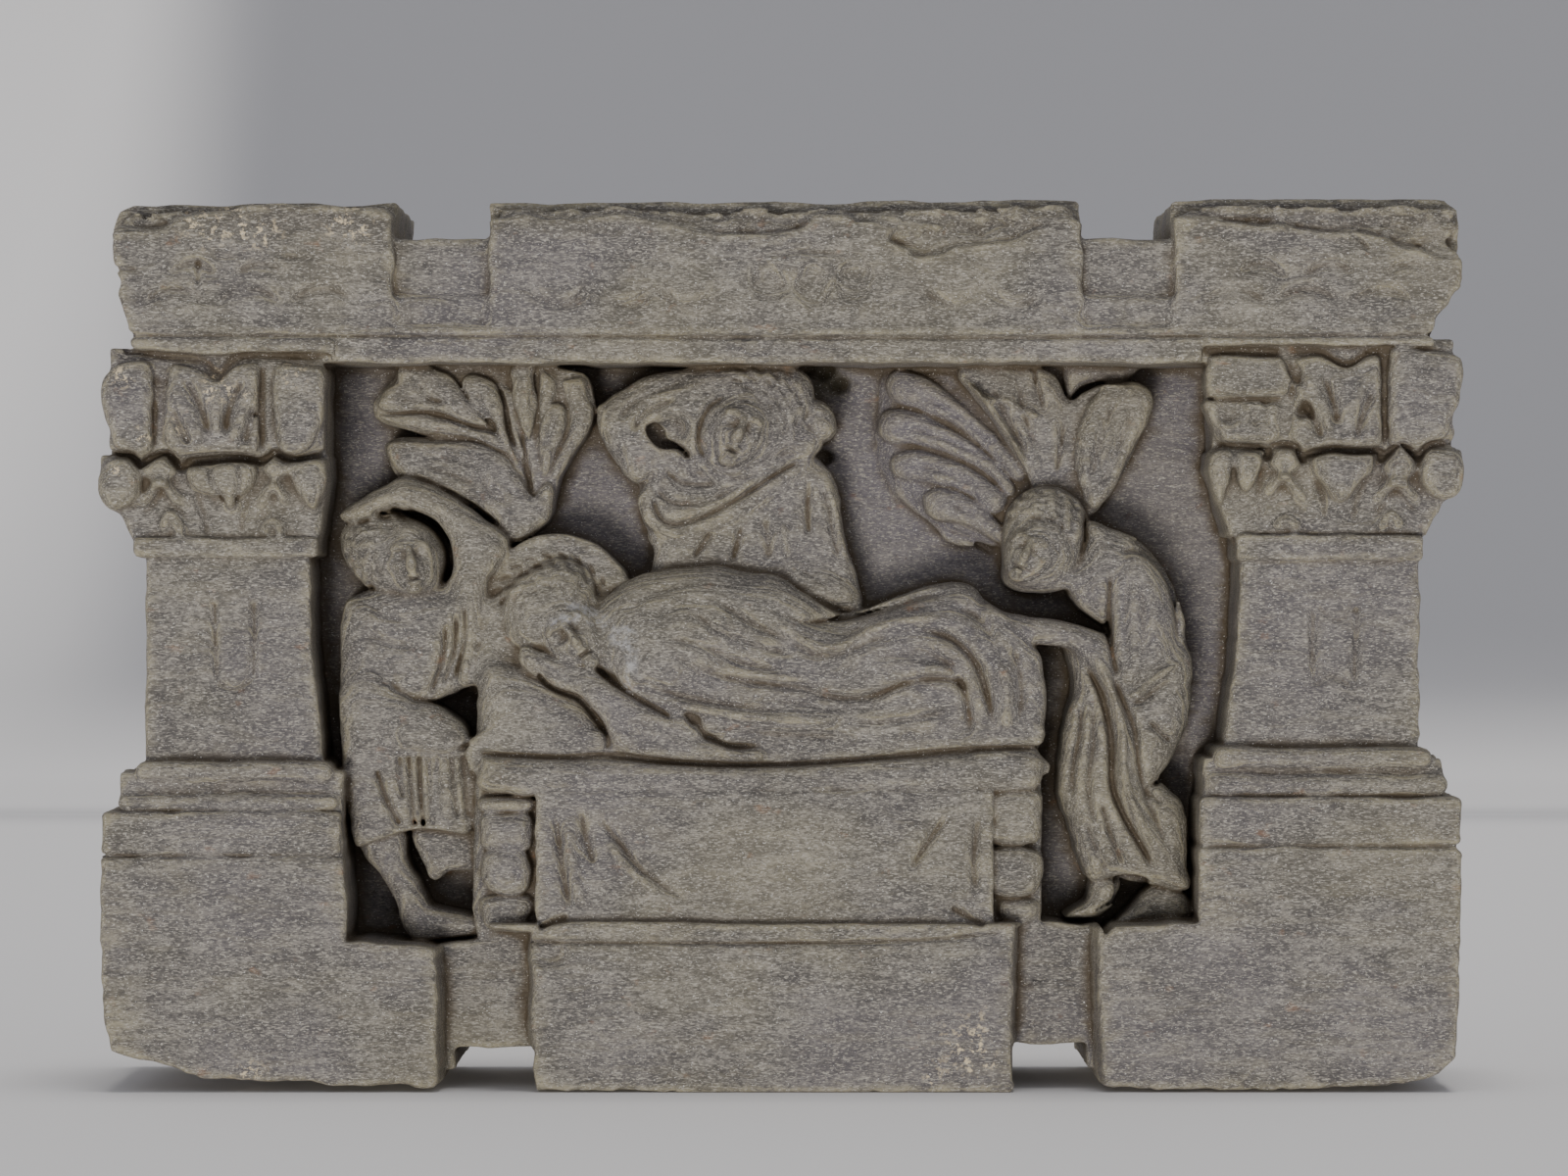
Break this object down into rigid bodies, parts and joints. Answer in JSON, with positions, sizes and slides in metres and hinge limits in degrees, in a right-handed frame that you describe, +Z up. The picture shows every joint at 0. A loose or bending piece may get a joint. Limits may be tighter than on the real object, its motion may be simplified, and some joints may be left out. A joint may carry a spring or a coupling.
{
  "type": "carved relief panel",
  "caption": "Stone relief panel: pilasters and a beam frame a deep niche in which a figure lies on a couch between mourners and trees.",
  "frame": {"origin": "under the middle of the panel, on the plane it stands on", "axes": "+X along the panel to the right as seen from its carved face, +Y from the carved face to the back, +Z up"},
  "size_m": [0.2794, 0.055, 0.183],
  "materials": {
    "schist": "chiselled and worn grey mica schist, matt with fine glints, darker in the recesses"
  },
  "bodies": {
    "root": {"relief_panel": "schist"}
  },
  "joints": []
}
